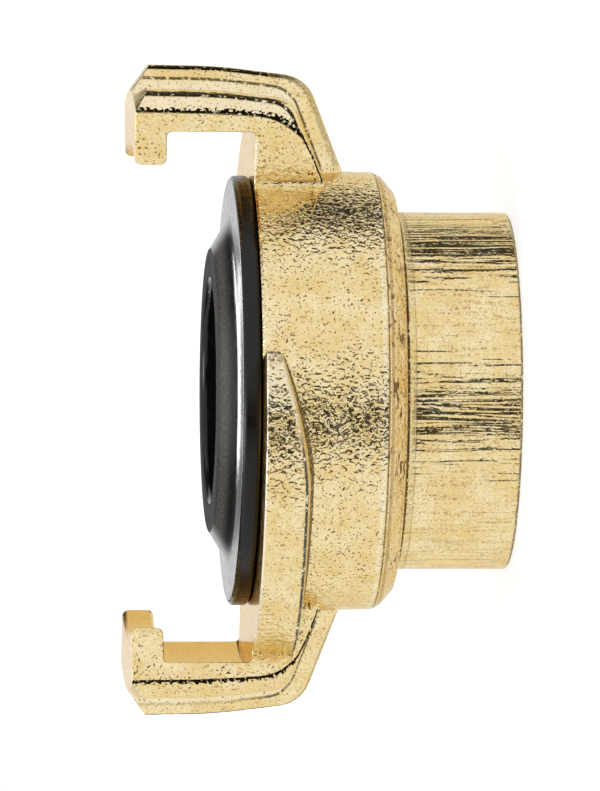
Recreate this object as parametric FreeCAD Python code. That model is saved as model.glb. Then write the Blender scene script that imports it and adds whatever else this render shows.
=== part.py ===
import FreeCAD, Part
import math
import os

from FreeCAD import Vector

# Claw coupling with a threaded hub: one brass casting and the rubber seal that sits in its face.
# Millimetres. The origin is the centre of the hub's end face. +Z runs along the waterway to the claws.
# One claw stands on +X and its twin on -X. Looking back from the claws at the hub, each ramp runs
# counter-clockwise from its own claw and leaves a gap for the claw of the other half.

# Hub with its internal pipe thread
hub_diameter = 31.2
hub_length = 9.85
hub_end_chamfer = 0.2
hub_root_fillet = 0.5
thread_diameter = 26.44
thread_depth = 13.0
thread_mouth_chamfer = 0.8

# Shoulder that widens the hub to the neck
shoulder_face_diameter = 35.2
shoulder_face_rise = 0.3
shoulder_crease_diameter = 37.5
shoulder_crease_rise = 1.3
shoulder_height = 2.0

# Neck, and the flat face that carries the seal
neck_diameter_back = 38.2
neck_diameter_front = 38.7
neck_edge_chamfer = 0.2
face_height = 22.6

# Waterway and the undercut that holds the seal
waterway_diameter = 20.0
web_thickness = 3.5
chamber_diameter = 25.0
seat_diameter = 30.4
undercut_diameter = 33.2
seat_lip_thickness = 1.7
undercut_width = 2.4

# Claws, turned inside and at the tips
claw_half_angle = 20.0
claw_top_radius = 28.45
claw_wall_thickness = 4.05
claw_break_inset = 0.12
claw_break_height = 25.5
claw_break_blend = 36.0
claw_bend_inset = 1.05
claw_bend_height = 17.65
claw_back_lean = 21.2
claw_foot_radius = 13.5
claw_tip_height = 33.0
hook_thickness = 2.75
hook_depth = 3.1
hook_nose_round = 0.6
hook_root_round = 0.4
tip_bevel_width = 2.25
tip_bevel_drop = 1.6
cast_edge_round = 0.25
turned_edge_round = 0.08

# Ramps that the other half's hooks slide along
ramp_clearance = 0.8
ramp_thickness = 4.5
ramp_start_thickness = 1.95
ramp_reach_angle = 102.6
ramp_lead_angle = 30.0
ramp_lead_power = 1.5
ramp_draft = 10.5
ramp_edge_round = 0.35
ramp_root_radius = 17.6

# Seal
seal_clearance = 0.1
seal_bore_diameter = 24.8
brim_diameter = 37.5
brim_thickness = 1.65
brim_edge_round = 0.45
crown_foot_diameter = 30.0
crown_foot_height = 1.75
crown_foot_blend = 2.0
crown_rim_diameter = 24.5
crown_height = 3.4
crown_rim_round = 0.35
mouth_diameter = 19.4
mouth_round = 0.5
mouth_lip_height = 1.3
throat_blend = 1.2

hub_radius = hub_diameter / 2
neck_radius_front = neck_diameter_front / 2
undercut_top = face_height - seat_lip_thickness
undercut_bottom = undercut_top - undercut_width
hook_inner_height = claw_tip_height - hook_thickness
claw_break_radius = claw_top_radius - claw_break_inset
claw_bend_radius = claw_top_radius - claw_bend_inset
hook_recess_radius = claw_top_radius - claw_wall_thickness
hook_nose_radius = hook_recess_radius - hook_depth
tip_bevel_radius = claw_top_radius - tip_bevel_width
ramp_radius = hook_recess_radius - ramp_clearance
overrun = 2.0

Z_AXIS = Vector(0, 0, 1)
ORIGIN = Vector(0, 0, 0)


def corner_stops(before, here, after):
    """Where the rounding of one flat corner starts, its middle point and where it ends."""
    u, v, radius = here
    if radius == 0:
        return [(u, v)]
    to_before = (before[0] - u, before[1] - v)
    to_after = (after[0] - u, after[1] - v)
    length_before = math.hypot(*to_before)
    length_after = math.hypot(*to_after)
    a = (to_before[0] / length_before, to_before[1] / length_before)
    b = (to_after[0] / length_after, to_after[1] / length_after)
    half = math.acos(a[0] * b[0] + a[1] * b[1]) / 2
    tangent = radius / math.tan(half)
    bisector = (a[0] + b[0], a[1] + b[1])
    size = math.hypot(*bisector)
    middle = radius / math.sin(half) - radius
    start = (u + a[0] * tangent, v + a[1] * tangent)
    centre = (u + bisector[0] / size * middle, v + bisector[1] / size * middle)
    end = (u + b[0] * tangent, v + b[1] * tangent)
    return [start, centre, end]


def rounded_wire(corners, place):
    """Closed wire through flat corners (u, v, rounding radius); place turns (u, v) into a point."""
    count = len(corners)
    stops = [
        corner_stops(corners[i - 1], corners[i], corners[(i + 1) % count]) for i in range(count)
    ]
    edges = []
    for i in range(count):
        if len(stops[i]) == 3:
            start, middle, end = (place(*p) for p in stops[i])
            edges.append(Part.Arc(start, middle, end).toShape())
        start = place(*stops[i][-1])
        end = place(*stops[(i + 1) % count][0])
        edges.append(Part.LineSegment(start, end).toShape())
    return Part.Wire(edges)


def turned(corners, angle=360.0):
    """Solid turned about the Z axis from flat corners (radius, height, rounding radius)."""
    wire = rounded_wire(corners, lambda r, z: Vector(r, 0, z))
    return Part.Face(wire).revolve(ORIGIN, Z_AXIS, angle)


def outer_turning():
    """Hub, shoulder and neck as one turned solid."""
    shoulder_top = hub_length + shoulder_height
    return turned([
        (0, 0, 0),
        (hub_radius - hub_end_chamfer, 0, 0),
        (hub_radius, hub_end_chamfer, 0),
        (hub_radius, hub_length, hub_root_fillet),
        (shoulder_face_diameter / 2, hub_length + shoulder_face_rise, 0),
        (shoulder_crease_diameter / 2, hub_length + shoulder_crease_rise, 0),
        (neck_diameter_back / 2, shoulder_top, 0),
        (neck_radius_front, face_height - neck_edge_chamfer, 0),
        (neck_radius_front - neck_edge_chamfer, face_height, 0),
        (0, face_height, 0),
    ])


def bore_space():
    """Everything bored out along the axis: thread, waterway, chamber, undercut and seat."""
    mouth_radius = thread_diameter / 2 + thread_mouth_chamfer
    web_top = thread_depth + web_thickness
    return turned([
        (0, -overrun, 0),
        (mouth_radius, -overrun, 0),
        (mouth_radius, 0, 0),
        (thread_diameter / 2, thread_mouth_chamfer, 0),
        (thread_diameter / 2, thread_depth, 0),
        (waterway_diameter / 2, thread_depth, 0),
        (waterway_diameter / 2, web_top, 0),
        (chamber_diameter / 2, web_top, 0),
        (chamber_diameter / 2, undercut_bottom, 0),
        (undercut_diameter / 2, undercut_bottom, 0),
        (undercut_diameter / 2, undercut_top, 0),
        (seat_diameter / 2, undercut_top, 0),
        (seat_diameter / 2, face_height + overrun, 0),
        (0, face_height + overrun, 0),
    ])


# The claw's ribs and grooves, as stations out from its middle plane: distance from that plane, drop of
# the top below the middle rib, shift of the back face towards the hook, and radius of the bend.
# The side rib lies lower where the ramp joins the claw. The stations are drawn for the claw width below
# and spread with it.
rib_drawing_top_radius = 28.45
rib_drawing_half_angle = 20.0
rib_crest = [
    (0.0, 0.0, 0.0, 3.2),
    (0.9, 0.04, 0.15, 3.1),
    (1.3, 0.17, 0.4, 3.0),
    (1.55, 0.42, 0.8, 2.9),
]
rib_flank = [
    (1.55, 0.42, 0.8, 2.9),
    (2.0, 1.05, 1.9, 2.8),
]
groove_wall = [
    (2.0, 1.05, 1.9, 2.8),
    (3.0, 2.4, 2.45, 2.5),
]
ramp_side_groove = [
    (3.0, 2.4, 2.45, 2.5),
    (3.8, 2.7, 2.7, 2.4),
    (4.7, 2.65, 2.75, 2.3),
    (5.6, 2.38, 2.6, 2.2),
]
ramp_side_rib = [
    (5.6, 2.38, 2.6, 2.2),
    (6.6, 2.2, 2.5, 2.2),
    (7.5, 2.27, 2.6, 2.2),
    (8.1, 2.6, 2.9, 2.3),
]
ramp_side_flank = [
    (8.1, 2.6, 2.9, 2.3),
    (9.3, 4.7, 5.3, 2.5),
]
open_side_groove = [
    (3.0, 2.4, 2.45, 2.5),
    (3.8, 2.6, 2.7, 2.4),
    (4.7, 2.45, 2.7, 2.3),
    (5.6, 2.08, 2.5, 2.2),
]
open_side_rib = [
    (5.6, 2.08, 2.5, 2.2),
    (6.6, 1.86, 2.4, 2.2),
    (7.6, 1.92, 2.55, 2.2),
    (8.15, 2.2, 2.85, 2.3),
]
open_side_flank = [
    (8.15, 2.2, 2.85, 2.3),
    (9.3, 4.4, 5.75, 2.5),
]


def mirrored(band):
    """The same stations on the other side of the claw's middle plane."""
    return [(-aside, drop, shift, bend) for aside, drop, shift, bend in band]


def claw_station(aside, top_drop, back_shift, bend):
    """Side outline of the claw at one distance from its middle plane."""
    lean = math.tan(math.radians(claw_back_lean))
    fall = (claw_break_radius - claw_bend_radius) / (claw_break_height - claw_bend_height)
    top_radius = claw_top_radius - top_drop
    break_radius = claw_break_radius - top_drop
    back_height = claw_bend_height + back_shift - lean * claw_bend_radius
    bend_at = (break_radius + fall * (back_height - claw_break_height)) / (1 - fall * lean)
    corners = [
        (claw_foot_radius, claw_tip_height, 0),
        (claw_foot_radius, back_height + lean * claw_foot_radius, 0),
        (bend_at, back_height + lean * bend_at, bend),
        (break_radius, claw_break_height, claw_break_blend),
        (top_radius, claw_tip_height, 0),
    ]
    return rounded_wire(corners, lambda h, z: Vector(h, aside, z))


def claw_blank():
    """The claw on +X before turning: a middle rib, a groove each side and a side rib each side."""
    crest = list(reversed(mirrored(rib_crest[1:]))) + rib_crest
    ramp_side = [rib_flank, groove_wall, ramp_side_groove, ramp_side_rib, ramp_side_flank]
    open_side = [rib_flank, groove_wall, open_side_groove, open_side_rib, open_side_flank]
    bands = [crest] + ramp_side + [mirrored(band) for band in open_side]
    drawn_width = rib_drawing_top_radius * math.tan(math.radians(rib_drawing_half_angle))
    spread = claw_top_radius * math.tan(math.radians(claw_half_angle)) / drawn_width
    solids = []
    for band in bands:
        outlines = [claw_station(aside * spread, drop, shift, bend) for aside, drop, shift, bend in band]
        solids.append(Part.makeLoft(outlines, True, False))
    blank = solids[0].multiFuse(solids[1:])
    reach = claw_top_radius * 2
    side = reach * math.tan(math.radians(claw_half_angle))
    outline = [ORIGIN, Vector(reach, -side, 0), Vector(reach, side, 0), ORIGIN]
    wedge = Part.Face(Part.makePolygon(outline)).extrude(Vector(0, 0, claw_tip_height + overrun))
    return blank.common(wedge)


def hook_space():
    """What the turning tool takes out between the claws: the recess behind the hooks and their noses."""
    return turned([
        (0, face_height, 0),
        (hook_recess_radius, face_height, hook_root_round),
        (hook_recess_radius, hook_inner_height, hook_root_round),
        (hook_nose_radius, hook_inner_height, hook_nose_round),
        (hook_nose_radius, claw_tip_height, hook_nose_round),
        (hook_nose_radius + overrun, claw_tip_height, 0),
        (hook_nose_radius + overrun, claw_tip_height + overrun, 0),
        (0, claw_tip_height + overrun, 0),
    ])


def tip_bevel_space():
    """Ring that bevels the outside of the claw tips."""
    slope = tip_bevel_drop / (claw_top_radius - tip_bevel_radius)
    outside = claw_top_radius + overrun
    return turned([
        (tip_bevel_radius, claw_tip_height, 0),
        (outside, claw_tip_height - slope * (outside - tip_bevel_radius), 0),
        (outside, claw_tip_height + overrun, 0),
        (tip_bevel_radius, claw_tip_height + overrun, 0),
    ])


def claw_side_edges(claw, from_turning):
    """The edges round the claw's two side faces: those that turning has cut, or those left as cast."""
    slope = math.tan(math.radians(claw_half_angle))
    chosen = []
    for edge in claw.Edges:
        points = edge.discretize(5)
        on_side = all(abs(abs(p.y) - p.x * slope) < 0.001 for p in points)
        in_body = all(p.x < claw_foot_radius + 0.01 for p in points)
        in_body = in_body or all(abs(p.z - face_height) < 0.01 for p in points)
        middle = points[2]
        reach = math.hypot(middle.x, middle.y)
        cut = middle.z > claw_tip_height - 0.2
        cut = cut or (middle.z > face_height and reach < hook_recess_radius + 0.01)
        if on_side and not in_body and cut == from_turning:
            chosen.append(edge)
    return chosen


def claw():
    """The finished claw on +X with its side edges rounded."""
    solid = claw_blank().cut(hook_space()).cut(tip_bevel_space()).Solids[0]
    solid = solid.makeFillet(cast_edge_round, claw_side_edges(solid, False))
    return solid.makeFillet(turned_edge_round, claw_side_edges(solid, True))


def ramp_section(back_height, angle):
    """Section of a ramp in the radial plane at an angle about the axis, in degrees."""
    draft = math.tan(math.radians(ramp_draft))
    neck_radius = neck_diameter_back / 2
    corners = [
        (ramp_root_radius, back_height - draft * (neck_radius - ramp_root_radius), 0),
        (ramp_radius, back_height + draft * (ramp_radius - neck_radius), ramp_edge_round),
        (ramp_radius, face_height, 0),
        (ramp_root_radius, face_height, 0),
    ]
    c = math.cos(math.radians(angle))
    s = math.sin(math.radians(angle))
    return rounded_wire(corners, lambda r, z: Vector(r * c, r * s, z))


def ramp():
    """The ramp of the claw on +X: a lead-in that thickens from its start, then an even run."""
    thick = face_height - ramp_thickness
    thin = face_height - ramp_start_thickness
    lead_end = ramp_reach_angle - ramp_lead_angle
    steps = 6
    sections = []
    for i in range(steps + 1):
        left = 1 - i / steps
        back_height = thick + (thin - thick) * left**ramp_lead_power
        sections.append(ramp_section(back_height, lead_end + ramp_lead_angle * left))
    lead = Part.makeLoft(sections, True, False)
    even_start = claw_half_angle - 1
    even = Part.Face(ramp_section(thick, even_start)).revolve(ORIGIN, Z_AXIS, lead_end - even_start)
    return even.fuse(lead)


def coupling_body():
    half = claw().fuse(ramp())
    twin = half.copy()
    twin.rotate(ORIGIN, Z_AXIS, 180)
    body = outer_turning().multiFuse([half, twin]).cut(bore_space())
    return body.removeSplitter().Solids[0]


def seal():
    bead_radius = undercut_diameter / 2 - seal_clearance
    sleeve_radius = seat_diameter / 2 - seal_clearance
    bead_bottom = undercut_bottom + seal_clearance
    bead_top = undercut_top - seal_clearance
    bore_radius = seal_bore_diameter / 2
    brim_radius = brim_diameter / 2
    mouth_radius = mouth_diameter / 2
    rim_height = face_height + crown_height
    return turned([
        (bore_radius, bead_bottom, 0),
        (bead_radius, bead_bottom, brim_edge_round),
        (bead_radius, bead_top, 0),
        (sleeve_radius, bead_top, 0),
        (sleeve_radius, face_height, 0),
        (brim_radius, face_height, brim_edge_round),
        (brim_radius, face_height + brim_thickness, brim_edge_round),
        (crown_foot_diameter / 2, face_height + crown_foot_height, crown_foot_blend),
        (crown_rim_diameter / 2, rim_height, crown_rim_round),
        (mouth_radius, rim_height, mouth_round),
        (mouth_radius, rim_height - mouth_lip_height, 0),
        (bore_radius, face_height, throat_blend),
    ])


os.makedirs("parts", exist_ok=True)
for name, shape in (("coupling_body", coupling_body()), ("seal", seal())):
    print(name, shape.ShapeType, len(shape.Solids), round(shape.Volume, 2), shape.isValid())
    shape.exportStep(f"parts/{name}.step")
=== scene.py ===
"""Looks of the claw coupling: brass body, pipe thread and rubber seal, in metres in the CAD frame."""
import math
from types import SimpleNamespace

import bmesh
import bpy
from mathutils import Matrix, Vector


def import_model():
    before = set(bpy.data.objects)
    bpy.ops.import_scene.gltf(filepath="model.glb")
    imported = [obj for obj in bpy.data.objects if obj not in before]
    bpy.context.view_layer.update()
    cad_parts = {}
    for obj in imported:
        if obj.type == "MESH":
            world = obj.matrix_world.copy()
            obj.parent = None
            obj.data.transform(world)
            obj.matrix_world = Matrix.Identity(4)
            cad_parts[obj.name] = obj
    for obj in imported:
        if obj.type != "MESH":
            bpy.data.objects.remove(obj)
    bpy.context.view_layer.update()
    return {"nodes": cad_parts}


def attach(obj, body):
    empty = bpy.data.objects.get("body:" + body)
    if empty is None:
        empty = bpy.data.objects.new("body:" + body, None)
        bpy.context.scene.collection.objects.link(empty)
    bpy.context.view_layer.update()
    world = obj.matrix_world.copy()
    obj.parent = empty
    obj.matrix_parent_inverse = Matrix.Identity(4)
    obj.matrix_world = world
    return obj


MM = 0.001

# Camera, seen from -Y with +X up in the picture: tilts in radians, distance and target in metres
CAMERA_TILT_UP = 0.08
CAMERA_TILT_FORWARD = 0.0775
CAMERA_ROLL = 0.0018
CAMERA_DISTANCE = 0.72
CAMERA_TARGET = Vector((-0.00044, 0.0, 0.01798))
CAMERA_LENS = 494.6
SENSOR_WIDTH = 36.0

# Heights and radii that divide the body's surfaces, as in the CAD
HUB_RADIUS = 15.6 * MM
HUB_TOP = 9.85 * MM
SHOULDER_TOP = 11.85 * MM
NECK_BACK_RADIUS = 19.1 * MM
NECK_RADIUS = 19.35 * MM
FACE_HEIGHT = 22.6 * MM
RECESS_RADIUS = 24.4 * MM
CLAW_HALF_ANGLE = math.radians(20.0)
RAMP_RADIUS = 23.6 * MM
RAMP_REACH_ANGLE = math.radians(102.6)

# Distances from a claw's middle plane to its ribs and grooves, as in the CAD
CREST_EDGE = 1.3 * MM
RIB_FOOT = 2.0 * MM
GROOVE_END = 5.6 * MM
SIDE_RIB_EDGE = 8.15 * MM

# Turned line on the hub, just below the shoulder
HUB_LINE_HEIGHT = 9.15 * MM

# Seal, as in the CAD
BRIM_RADIUS = 18.75 * MM
CROWN_RIM_RADIUS = 12.25 * MM
RIM_HEIGHT = 26.0 * MM

# Internal pipe thread, G 3/4
THREAD_MAJOR_RADIUS = 13.22 * MM
THREAD_MINOR_RADIUS = 12.06 * MM
THREAD_PITCH = 1.814 * MM
THREAD_START = 0.35 * MM
THREAD_END = 12.4 * MM
THREAD_HALF_FLANK = THREAD_PITCH * 0.44
THREAD_CREST_FLAT = THREAD_PITCH * 0.07
THREAD_CREST_ROUND = 0.04 * MM
THREAD_INTO_WALL = 0.06 * MM
THREAD_STEPS_PER_TURN = 96
THREAD_FADE_TURNS = 0.6
THREAD_LEAST_HEIGHT = 0.02
THREAD_LEAST_WIDTH = 0.3

# Floor: half its side, its drop below the hub, its grey and how much it glows for the camera
FLOOR_HALF_SIDE = 6.0
FLOOR_DROP = 0.05 * MM
FLOOR_GREY = 0.4
FLOOR_GLOW = 0.75

# Lamps: name, place, width and height in metres, power in watts
SOFTBOXES = [
    ("softbox_front", (-0.2, -0.25, 0.9), 0.35, 0.35, 2.5),
    ("softbox_behind", (0.0, 0.6, 0.48), 0.25, 0.2, 1.5),
]
LAMP_AIM = Vector((0, 0, 0.02))

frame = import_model()


def srgb(r, g, b):
    """Linear colour from the sRGB values 0 to 255."""
    def one(v):
        v = v / 255
        return v / 12.92 if v <= 0.04045 else ((v + 0.055) / 1.055) ** 2.4
    return (one(r), one(g), one(b), 1.0)


# Brass, from clean metal to dirt, with the colours of painted highlights and painted shade
BRASS_PALE = srgb(246, 231, 186)
BRASS_GOLD = srgb(236, 212, 150)
BRASS_WARM = srgb(214, 172, 96)
BRASS_TURNED = srgb(218, 174, 90)
BRASS_EDGE_TINT = (0.93, 0.84, 0.64, 1.0)
PALE_HIGHLIGHT = srgb(250, 241, 218)
RAMP_HIGHLIGHT = srgb(255, 248, 228)
EDGE_HIGHLIGHT = srgb(255, 250, 234)
ROOT_GLINT = srgb(255, 252, 240)
ROOT_SHADE = srgb(130, 82, 30)
START_STAIN = srgb(150, 104, 50)
STREAK_REFLECTION = srgb(156, 106, 46)
RING_BROWN = srgb(136, 92, 40)
PIT_BROWN = srgb(104, 62, 22)
NICK_BROWN = srgb(84, 52, 24)
FOOT_SHADE = srgb(84, 54, 22)
SHADE_AND_GRIME = srgb(30, 20, 8)

RUBBER_DARK = srgb(7, 8, 9)
RUBBER_LIGHT = srgb(21, 22, 22)
RUBBER_SHEEN = srgb(110, 106, 97)


class Graph:
    """Short ways to add and join shader nodes."""

    def __init__(self, tree):
        self.tree = tree
        tree.nodes.clear()

    def add(self, kind, inputs=None, **settings):
        node = self.tree.nodes.new(kind)
        for key, value in settings.items():
            setattr(node, key, value)
        for key, value in (inputs or {}).items():
            self.put(node.inputs[key], value)
        return node

    def put(self, socket, value):
        if isinstance(value, bpy.types.NodeSocket):
            self.tree.links.new(value, socket)
        else:
            socket.default_value = value

    def math(self, operation, a, b=0.0, clamp=False):
        node = self.add("ShaderNodeMath", {0: a, 1: b}, operation=operation, use_clamp=clamp)
        return node.outputs[0]

    def joined(self, operation, values):
        result = values[0]
        for value in values[1:]:
            result = self.math(operation, result, value)
        return result

    def times(self, *values):
        return self.joined("MULTIPLY", values)

    def plus(self, *values):
        return self.joined("ADD", values)

    def most(self, *values):
        return self.joined("MAXIMUM", values)

    def minus(self, a, b):
        return self.math("SUBTRACT", a, b)

    def size(self, value):
        return self.math("ABSOLUTE", value)

    def ramp(self, value, low, high, out_low, out_high):
        """Smooth change from out_low to out_high while the value goes from low to high."""
        node = self.add("ShaderNodeMapRange", {"Value": value, "From Min": low, "From Max": high,
                                               "To Min": out_low, "To Max": out_high},
                        interpolation_type="SMOOTHSTEP", clamp=True)
        return node.outputs["Result"]

    def rise(self, value, low, high):
        return self.ramp(value, low, high, 0.0, 1.0)

    def fall(self, value, low, high):
        return self.ramp(value, low, high, 1.0, 0.0)

    def band(self, value, low, high, edge):
        """1 between low and high, fading to 0 over the edge."""
        return self.times(self.rise(value, low - edge, low + edge),
                          self.fall(value, high - edge, high + edge))

    def mix(self, factor, a, b):
        """Colour a, or b where the factor is 1."""
        node = self.add("ShaderNodeMix", {0: factor, 6: a, 7: b}, data_type="RGBA")
        return node.outputs[2]

    def paint(self, colour, mask, share, shade):
        """The colour with a shade laid over it where the mask is set, as thick as the share says."""
        return self.mix(self.times(mask, share), colour, shade)

    def noise(self, vector, scale, detail=2.0, roughness=0.5, distortion=0.0):
        node = self.add("ShaderNodeTexNoise", {"Vector": vector, "Scale": scale, "Detail": detail,
                                               "Roughness": roughness, "Distortion": distortion})
        return node.outputs["Fac"]

    def bump(self, height, distance, normal=None):
        node = self.add("ShaderNodeBump", {"Height": height, "Distance": distance, "Strength": 1.0})
        if normal is not None:
            self.put(node.inputs["Normal"], normal)
        return node.outputs["Normal"]

    def split(self, vector):
        return self.add("ShaderNodeSeparateXYZ", {0: vector}).outputs

    def join(self, x, y, z):
        return self.add("ShaderNodeCombineXYZ", {0: x, 1: y, 2: z}).outputs[0]

    def stretch(self, vector, factors):
        return self.add("ShaderNodeVectorMath", {0: vector, 1: factors}, operation="MULTIPLY").outputs[0]


def new_material(name):
    material = bpy.data.materials.new(name)
    material.use_nodes = True
    return material, Graph(material.node_tree)


def brass_places(g):
    """Coordinates, directions and zones that the brass is shaded by."""
    at = SimpleNamespace()
    at.place = g.add("ShaderNodeTexCoord").outputs["Object"]
    at.x, at.y, at.z = g.split(at.place)
    at.radius = g.math("SQRT", g.plus(g.times(at.x, at.x), g.times(at.y, at.y)))
    nx, ny, at.nz = g.split(g.add("ShaderNodeNewGeometry").outputs["True Normal"])
    at.outward = g.math("DIVIDE", g.plus(g.times(nx, at.x), g.times(ny, at.y)), at.radius)

    # Turned hub, shoulder and hook faces, and the cast skin elsewhere
    facing = g.most(g.size(at.outward), g.size(at.nz))
    between_claws = g.times(g.rise(at.z, FACE_HEIGHT - 0.1 * MM, FACE_HEIGHT - 0.05 * MM),
                            g.fall(at.radius, RECESS_RADIUS + 0.03 * MM, RECESS_RADIUS + 0.06 * MM))
    at.turned = g.times(between_claws, g.rise(facing, 0.75, 0.85))
    at.hub = g.fall(at.z, HUB_TOP - 0.2 * MM, HUB_TOP + 0.2 * MM)
    at.shoulder = g.band(at.z, HUB_TOP, SHOULDER_TOP, 0.1 * MM)
    smooth = g.most(at.hub, at.turned, g.times(at.shoulder, 0.3))
    at.cast = g.math("SUBTRACT", 1.0, smooth, clamp=True)

    # Claws: distance from the middle plane, and depth behind the side face, below zero outside the claw
    at.ahead = g.size(at.x)
    at.aside = g.size(at.y)
    at.open_side = g.math("LESS_THAN", g.times(at.x, at.y), 0.0)
    at.depth = g.minus(g.times(at.ahead, math.sin(CLAW_HALF_ANGLE)),
                       g.times(at.aside, math.cos(CLAW_HALF_ANGLE)))
    faces_back = g.fall(at.nz, -0.35, -0.25)
    out_of_neck = g.rise(at.radius, NECK_RADIUS + 0.15 * MM, NECK_RADIUS + 0.55 * MM)
    at.on_claw = g.times(g.most(g.rise(at.outward, 0.25, 0.4), faces_back), out_of_neck)
    at.in_claw = g.times(g.rise(at.depth, -0.08 * MM, -0.03 * MM), out_of_neck)

    # Ramps: their backs, their outer rim and the distance from the line where they start
    at.beside_claw = g.fall(at.depth, -0.3 * MM, -0.2 * MM)
    at.ramp_back = g.times(faces_back, at.beside_claw,
                           g.band(at.radius, NECK_BACK_RADIUS, RAMP_RADIUS + 0.2 * MM, 0.05 * MM),
                           g.rise(at.z, SHOULDER_TOP + 0.15 * MM, SHOULDER_TOP + 0.25 * MM))
    at.ramp_rim = g.rise(at.radius, RAMP_RADIUS - 0.4 * MM, RAMP_RADIUS - 0.3 * MM)
    at.from_start = g.size(g.minus(g.times(at.x, math.sin(RAMP_REACH_ANGLE)),
                                   g.times(at.y, math.cos(RAMP_REACH_ANGLE))))

    # Patterns: worm-like grains of the skin, lines along the hub and rings round turned faces
    at.grain = g.noise(at.place, 2400, 0.0, 0.5, 0.8)
    at.along = g.join(at.x, at.y, g.times(at.z, 0.07))
    at.ring = g.noise(g.join(at.radius, 0.0, at.z), 5000, 2.0)
    return at


def brass_relief(g, at):
    """Normal of the cast skin, the streaks along the hub and the rings on turned faces."""
    skin_share = g.math("SUBTRACT", at.cast, g.times(at.in_claw, 0.75), clamp=True)
    skin_share = g.plus(skin_share, g.times(at.hub, 0.3))
    skin = g.bump(g.times(at.grain, skin_share), 0.11 * MM)
    streaks = g.plus(g.rise(g.noise(at.along, 1450, 1.0), 0.36, 0.62),
                     g.times(g.noise(at.along, 5000, 1.0), 0.4))
    streaked = g.bump(g.times(streaks, at.hub), 0.065 * MM, skin)
    return g.bump(g.times(at.ring, g.most(at.turned, at.shoulder)), 0.015 * MM, streaked)


def brass_tones(g, at):
    """Pale brass, warmer in patches, with turned marks on the shoulder, painted dark reflections along the
    hub and painted highlights on the ribs and ramps.
    """
    colour = g.mix(g.rise(g.noise(at.place, 420, 3.0, 0.6), 0.3, 0.7), BRASS_PALE, BRASS_GOLD)
    colour = g.paint(colour, g.rise(g.noise(at.place, 5200, 2.0, 0.6), 0.42, 0.64), 0.42, BRASS_WARM)

    # Painted dark reflections: brown streaks along the hub
    streaks = g.times(g.rise(g.noise(at.along, 3600, 1.0), 0.5, 0.62),
                      g.rise(g.noise(at.place, 4500, 1.0), 0.5, 0.6), at.hub)
    colour = g.paint(colour, streaks, 0.55, STREAK_REFLECTION)

    colour = g.paint(colour, at.shoulder, 0.25, BRASS_WARM)
    colour = g.paint(colour, g.times(g.rise(at.ring, 0.52, 0.66), at.shoulder), 0.5, RING_BROWN)
    round_about = g.stretch(at.place, (0.4, 0.4, 1.5))
    nicks = g.times(g.rise(g.noise(round_about, 2300, 1.0, 0.5, 0.8), 0.56, 0.62), at.shoulder,
                    g.rise(g.noise(at.place, 300, 1.0), 0.4, 0.6))
    colour = g.paint(colour, nicks, 0.85, NICK_BROWN)

    # Painted highlights: the grooves between a claw's ribs and the flank of its side rib are painted pale
    grooves = g.band(at.aside, RIB_FOOT + 0.15 * MM, GROOVE_END - 0.2 * MM, 0.1 * MM)
    flanks = g.times(g.rise(at.aside, SIDE_RIB_EDGE - 0.15 * MM, SIDE_RIB_EDGE + 0.15 * MM), at.open_side)
    colour = g.paint(colour, g.plus(g.times(grooves, 0.4), g.times(flanks, 0.45)), at.on_claw, PALE_HIGHLIGHT)
    # Painted highlight: the backs of the ramps are painted pale
    colour = g.paint(colour, at.ramp_back, 0.7, RAMP_HIGHLIGHT)
    return g.paint(colour, at.turned, 0.85, BRASS_TURNED)


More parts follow.
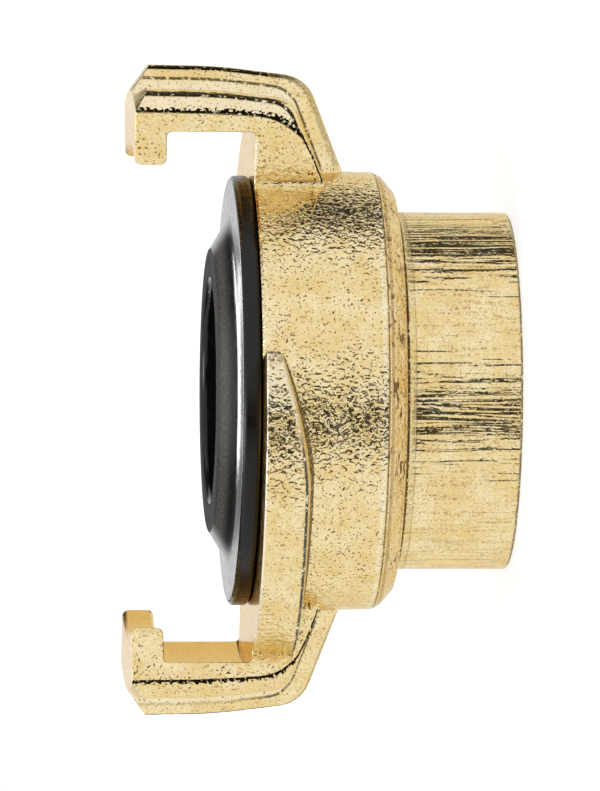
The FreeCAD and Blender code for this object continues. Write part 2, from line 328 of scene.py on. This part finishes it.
def brass_stains_and_painted_light(g, at, colour):
    """Specks all over and a stain at each ramp's start, with painted shade and painted highlights on the
    neck, the claws' roots and the edges of face and neck.
    """
    specks = g.times(g.rise(g.noise(at.place, 4900, 0.0), 0.65, 0.73),
                     g.ramp(g.noise(at.place, 500, 1.0), 0.3, 0.7, 0.5, 1.0))
    share = g.minus(g.plus(g.times(at.cast, 0.6), 0.35), g.times(at.on_claw, 0.25))
    colour = g.mix(g.math("MULTIPLY", specks, share, clamp=True), colour, PIT_BROWN)

    # Neck at the foot of a claw's open side: a pale painted highlight with painted shade in the grain of the
    # skin
    foot = g.times(g.band(g.math("DIVIDE", at.aside, at.ahead), 0.5, 0.75, 0.2),
                   g.band(at.z, 13 * MM, FACE_HEIGHT - 0.3 * MM, 2 * MM),
                   g.fall(at.radius, NECK_RADIUS + 0.15 * MM, NECK_RADIUS + 0.25 * MM), at.open_side)
    colour = g.paint(colour, foot, 0.25, PALE_HIGHLIGHT)
    colour = g.paint(colour, g.times(g.rise(at.grain, 0.54, 0.62), foot), 0.6, FOOT_SHADE)

    # Start of a ramp
    start = g.times(g.fall(at.from_start, 0.3 * MM, 1.6 * MM), at.ramp_rim,
                    g.ramp(g.noise(at.place, 2600, 1.0), 0.42, 0.58, 0.15, 0.6),
                    g.fall(at.z, FACE_HEIGHT - 0.05 * MM, FACE_HEIGHT))
    colour = g.mix(start, colour, START_STAIN)

    # Line where a claw's side face meets the neck: a painted highlight with a line of painted shade beside
    # it
    level = g.size(at.nz)
    side_face = g.times(g.fall(g.size(at.outward), 0.2, 0.3), at.open_side,
                        g.band(at.z, 13 * MM, FACE_HEIGHT - 0.1 * MM, 0.3 * MM), g.fall(level, 0.2, 0.4))
    glint = g.band(at.radius, NECK_RADIUS - 0.05 * MM, NECK_RADIUS + 0.27 * MM, 0.03 * MM)
    colour = g.paint(colour, g.times(glint, side_face), 0.85, ROOT_GLINT)
    root_shade = g.band(at.radius, NECK_RADIUS + 0.4 * MM, NECK_RADIUS + 0.6 * MM, 0.06 * MM)
    root_shade = g.times(root_shade, side_face, g.band(at.z, 15.5 * MM, 21 * MM, MM))
    colour = g.paint(colour, root_shade, 0.6, ROOT_SHADE)

    # Painted highlight along the edge of the face, and along the neck's first edge above the shoulder
    edge_sheen = g.times(g.band(at.z, FACE_HEIGHT - 0.16 * MM, FACE_HEIGHT + 0.05 * MM, 0.02 * MM),
                   g.fall(at.radius, RAMP_RADIUS + 0.05 * MM, RAMP_RADIUS + 0.15 * MM),
                   g.fall(level, 0.5, 0.8))
    neck_edge = g.band(at.z, SHOULDER_TOP + 0.15 * MM, SHOULDER_TOP + 0.45 * MM, 0.1 * MM)
    return g.paint(colour, g.most(edge_sheen, g.times(neck_edge, 0.45)), 0.7, EDGE_HIGHLIGHT)


def brass_shade_and_grime(g, at):
    """Share of painted shade and painted dark reflection, with grime in the creases, along the ribs, along
    the ramps and where the turning changes step.
    """
    wobble = g.times(g.rise(g.noise(at.place, 3100, 1.0), 0.4, 0.6), 0.22 * MM)
    # Painted shade and dark reflections along the claws' side faces, crests, grooves and side ribs
    side_line = g.times(g.rise(at.depth, 0.0, 0.02 * MM),
                        g.fall(g.minus(at.depth, wobble), 0.14 * MM, 0.18 * MM))
    crest = g.times(g.band(at.aside, CREST_EDGE - 0.15 * MM, CREST_EDGE + 0.2 * MM, 0.05 * MM), at.open_side)
    crest = g.most(crest, g.band(at.aside, CREST_EDGE - 0.55 * MM, CREST_EDGE - 0.05 * MM, 0.05 * MM))
    crest = g.times(crest, g.ramp(at.z, 17 * MM, 22 * MM, 0.35, 1.0))
    groove = g.times(g.most(at.open_side, g.ramp(at.z, 20 * MM, 24 * MM, 1.0, 0.3)),
                     g.band(at.aside, RIB_FOOT - 0.06 * MM, RIB_FOOT + 0.12 * MM, 0.03 * MM))
    side_rib = g.band(at.aside, SIDE_RIB_EDGE - 0.05 * MM, SIDE_RIB_EDGE + 0.11 * MM, 0.03 * MM)
    side_rib = g.times(side_rib, at.open_side)
    ribs = g.plus(side_line, g.times(crest, 0.8), g.times(groove, 0.6), g.times(side_rib, 0.75))
    ribs = g.times(ribs, at.on_claw)

    ramp_edge = g.times(g.band(at.nz, -0.93, -0.2, 0.08), at.beside_claw,
                        g.rise(at.radius, RAMP_RADIUS - 0.8 * MM, RAMP_RADIUS - 0.7 * MM),
                        g.ramp(at.z, FACE_HEIGHT - 3.3 * MM, FACE_HEIGHT - 2.6 * MM, 1.0, 0.25))
    ramp_root = g.times(at.ramp_back, g.fall(at.radius, RAMP_RADIUS - 1.9 * MM, RAMP_RADIUS - 1.5 * MM))
    ramp_start = g.times(g.ramp(at.from_start, 0.16 * MM, 0.24 * MM, 0.7, 0.0), at.ramp_rim)
    ramps = g.plus(ramp_edge, ramp_root, ramp_start)

    # Painted shade where the turning changes step and at the hub's end
    shoulder_foot = g.band(at.z, HUB_TOP - 0.13 * MM, HUB_TOP + 0.13 * MM, 0.05 * MM)
    shoulder_edge = g.band(at.z, SHOULDER_TOP - 0.13 * MM, SHOULDER_TOP + 0.01 * MM, 0.03 * MM)
    hub_line = g.band(at.z, HUB_LINE_HEIGHT - 0.05 * MM, HUB_LINE_HEIGHT + 0.05 * MM, 0.03 * MM)
    hub_end = g.fall(at.z, 0.1 * MM, 0.3 * MM)
    steps = g.plus(shoulder_foot, g.times(shoulder_edge, 0.7), g.times(hub_line, 0.4), g.times(hub_end, 0.8))
    steps = g.times(steps, g.rise(at.radius, HUB_RADIUS - 0.4 * MM, HUB_RADIUS - 0.3 * MM))

    shade_and_grime = g.plus(g.times(ribs, 1.3), g.times(g.plus(ramps, steps), 0.9))
    ragged = g.rise(g.noise(at.place, 2600, 2.0, 0.6), 0.32, 0.46)
    return g.math("MULTIPLY", shade_and_grime, ragged, clamp=True)


def brass_material():
    """Brass casting with turned hub, shoulder and faces."""
    material, g = new_material("brass_coupling")
    at = brass_places(g)
    shade_and_grime = brass_shade_and_grime(g, at)
    # Lines of painted shade and dark reflection, with grime in the creases, darken the brass
    colour = g.mix(shade_and_grime, brass_stains_and_painted_light(g, at, brass_tones(g, at)), SHADE_AND_GRIME)
    hub_root = g.times(g.band(at.z, HUB_LINE_HEIGHT, HUB_TOP, 0.05 * MM), 0.4)
    rough = g.ramp(g.noise(at.place, 1400, 2.0), 0.3, 0.7, 0.1, 0.2)
    rough = g.most(rough, g.times(shade_and_grime, 0.6), hub_root)
    shader = g.add("ShaderNodeBsdfPrincipled", {"Base Color": colour, "Metallic": 1.0, "Roughness": rough,
                                                "Specular Tint": BRASS_EDGE_TINT,
                                                "Normal": brass_relief(g, at)})
    g.add("ShaderNodeOutputMaterial", {"Surface": shader.outputs[0]})
    return material


def rubber_material():
    """Moulded black rubber with a glossy skin, with a beige painted highlight round the crown's rim."""
    material, g = new_material("rubber_seal")
    place = g.add("ShaderNodeTexCoord").outputs["Object"]
    height = g.split(place)["Z"]
    reach = g.add("ShaderNodeVectorMath", {0: g.stretch(place, (1.0, 1.0, 0.0))}, operation="LENGTH")
    reach = reach.outputs["Value"]

    # Painted highlight: beige round the crown's rim
    edge_sheen = g.times(g.band(height, RIM_HEIGHT - 0.9 * MM, RIM_HEIGHT - 0.1 * MM, 0.35 * MM),
                   g.rise(reach, CROWN_RIM_RADIUS - 0.55 * MM, CROWN_RIM_RADIUS - 0.25 * MM),
                   g.ramp(g.noise(place, 5000, 2.0), 0.3, 0.7, 0.35, 0.75))
    colour = g.mix(g.noise(place, 700, 3.0), RUBBER_DARK, RUBBER_LIGHT)
    colour = g.mix(edge_sheen, colour, RUBBER_SHEEN)

    rim = g.rise(height, RIM_HEIGHT - 0.12 * MM, RIM_HEIGHT - 0.06 * MM)
    brim_side = g.rise(reach, BRIM_RADIUS - 0.25 * MM, BRIM_RADIUS - 0.05 * MM)
    rough = g.ramp(g.noise(place, 1200, 2.0), 0.3, 0.7, 0.12, 0.2)
    rough = g.plus(rough, g.times(rim, 0.7), g.times(brim_side, 0.12))
    normal = g.bump(g.noise(place, 2600, 2.0), 0.008 * MM)
    shader = g.add("ShaderNodeBsdfPrincipled", {"Base Color": colour, "Roughness": rough, "Normal": normal,
                                                "Specular IOR Level": 0.34})
    g.add("ShaderNodeOutputMaterial", {"Surface": shader.outputs[0]})
    return material


def set_material(piece, material):
    piece.data.materials.clear()
    piece.data.materials.append(material)


def thread_section(grow):
    """Section of the thread's ridge as (radius, height from its middle); grow is 1 where it is full."""
    tall = max(grow, THREAD_LEAST_HEIGHT)
    wide = max(grow, THREAD_LEAST_WIDTH)
    root = THREAD_MAJOR_RADIUS + THREAD_INTO_WALL
    crest = THREAD_MAJOR_RADIUS - (THREAD_MAJOR_RADIUS - THREAD_MINOR_RADIUS) * tall
    flank = THREAD_HALF_FLANK * wide
    flat = THREAD_CREST_FLAT * wide
    lower = [(root, -flank), (crest + THREAD_CREST_ROUND, -flat * 1.5), (crest, -flat * 0.5)]
    return lower + [(radius, -height) for radius, height in reversed(lower)]


def thread(material):
    """Closed helical ridge of the internal thread; it fades in at the mouth and out at the bottom."""
    turns = (THREAD_END - THREAD_START - 2 * THREAD_HALF_FLANK) / THREAD_PITCH
    count = int(turns * THREAD_STEPS_PER_TURN)
    fade = THREAD_FADE_TURNS * THREAD_STEPS_PER_TURN
    mesh = bmesh.new()
    loops = []
    for i in range(count + 1):
        angle = 2 * math.pi * i / THREAD_STEPS_PER_TURN
        middle = THREAD_START + THREAD_HALF_FLANK + THREAD_PITCH * i / THREAD_STEPS_PER_TURN
        section = thread_section(min(1.0, i / fade, (count - i) / fade))
        loops.append([mesh.verts.new((r * math.cos(angle), r * math.sin(angle), middle + h))
                      for r, h in section])
    sides = len(loops[0])
    for a, b in zip(loops, loops[1:]):
        for k in range(sides):
            mesh.faces.new((a[k], b[k], b[(k + 1) % sides], a[(k + 1) % sides]))
    mesh.faces.new(loops[0])
    mesh.faces.new(list(reversed(loops[-1])))
    bmesh.ops.recalc_face_normals(mesh, faces=mesh.faces)
    data = bpy.data.meshes.new("hub_thread")
    mesh.to_mesh(data)
    mesh.free()
    data.shade_smooth()
    piece = bpy.data.objects.new("hub_thread", data)
    bpy.context.scene.collection.objects.link(piece)
    set_material(piece, material)
    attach(piece, "root")


def camera():
    toward = Vector((math.tan(CAMERA_TILT_UP), -1.0, math.tan(CAMERA_TILT_FORWARD))).normalized()
    right = Vector((0.0, 0.0, -1.0))
    right = (right - toward * right.dot(toward)).normalized()
    up = toward.cross(right)
    c, s = math.cos(CAMERA_ROLL), math.sin(CAMERA_ROLL)
    right, up = c * right + s * up, c * up - s * right
    data = bpy.data.cameras.new("camera")
    data.sensor_fit = "HORIZONTAL"
    data.sensor_width = SENSOR_WIDTH
    data.lens = CAMERA_LENS
    data.clip_start = 0.05
    data.clip_end = 20.0
    eye = bpy.data.objects.new("camera", data)
    turn = Matrix((right, up, toward)).transposed().to_4x4()
    eye.matrix_world = Matrix.Translation(CAMERA_TARGET + toward * CAMERA_DISTANCE) @ turn
    bpy.context.scene.collection.objects.link(eye)
    bpy.context.scene.camera = eye


def world():
    """White surroundings with soft dark patches that only first reflections show."""
    made = bpy.data.worlds.new("studio")
    bpy.context.scene.world = made
    made.use_nodes = True
    g = Graph(made.node_tree)
    x, y, z = g.split(g.add("ShaderNodeTexCoord").outputs["Generated"])
    azimuth = g.math("ARCTAN2", x, g.times(y, -1.0))
    side = g.band(azimuth, math.radians(97), math.radians(130), math.radians(4))
    front = g.band(azimuth, math.radians(-22), math.radians(0), math.radians(2))
    low = g.times(g.plus(g.times(side, 0.95), g.times(front, 0.96)), g.band(z, -0.5, 0.42, 0.1))
    behind = g.times(g.band(z, 0.28, 0.85, 0.1), g.rise(y, 0.15, 0.35))
    dark = g.most(low, g.times(behind, 0.9))

    path = g.add("ShaderNodeLightPath")
    first = g.math("LESS_THAN", path.outputs["Glossy Depth"], 1.5)
    glossy = path.outputs["Is Glossy Ray"]
    seen = g.most(path.outputs["Is Camera Ray"], path.outputs["Is Transmission Ray"])
    other = g.math("SUBTRACT", 1.0, g.plus(glossy, seen), clamp=True)
    reflected = g.times(glossy, g.minus(1.0, g.times(dark, first)))
    strength = g.plus(reflected, seen, g.times(other, 0.6))
    back = g.add("ShaderNodeBackground", {"Color": (1, 1, 1, 1), "Strength": strength})
    g.add("ShaderNodeOutputWorld", {"Surface": back.outputs[0]})


def floor():
    """Floor under the hub: it glows a little for the camera, to read as white, and is clear from below."""
    material, g = new_material("floor_white")
    for_camera = g.add("ShaderNodeLightPath").outputs["Is Camera Ray"]
    diffuse = g.add("ShaderNodeBsdfDiffuse", {"Color": (FLOOR_GREY, FLOOR_GREY, FLOOR_GREY, 1.0)})
    glow = g.add("ShaderNodeEmission", {"Color": (1, 1, 1, 1), "Strength": g.times(for_camera, FLOOR_GLOW)})
    lit = g.add("ShaderNodeAddShader", {0: diffuse.outputs[0], 1: glow.outputs[0]})
    clear = g.add("ShaderNodeBsdfTransparent")
    from_below = g.times(g.add("ShaderNodeNewGeometry").outputs["Backfacing"], for_camera)
    both = g.add("ShaderNodeMixShader", {0: from_below, 1: lit.outputs[0], 2: clear.outputs[0]})
    g.add("ShaderNodeOutputMaterial", {"Surface": both.outputs[0]})
    data = bpy.data.meshes.new("floor")
    corners = [(-1, -1), (1, -1), (1, 1), (-1, 1)]
    data.from_pydata([(x * FLOOR_HALF_SIDE, y * FLOOR_HALF_SIDE, -FLOOR_DROP) for x, y in corners],
                     [], [(0, 1, 2, 3)])
    piece = bpy.data.objects.new("floor", data)
    bpy.context.scene.collection.objects.link(piece)
    set_material(piece, material)
    piece.visible_glossy = False


def softbox(name, place, width, height, power):
    """Area lamp that faces the coupling."""
    data = bpy.data.lights.new(name, "AREA")
    data.shape = "RECTANGLE"
    data.size = width
    data.size_y = height
    data.energy = power
    piece = bpy.data.objects.new(name, data)
    piece.location = place
    piece.rotation_euler = (Vector(place) - LAMP_AIM).to_track_quat("Z", "Y").to_euler()
    bpy.context.scene.collection.objects.link(piece)


brass = brass_material()
set_material(frame["nodes"]["coupling_body"], brass)
set_material(frame["nodes"]["seal"], rubber_material())
thread(brass)
world()
floor()
for box in SOFTBOXES:
    softbox(*box)
camera()

scene = bpy.context.scene
scene.view_settings.view_transform = "Standard"
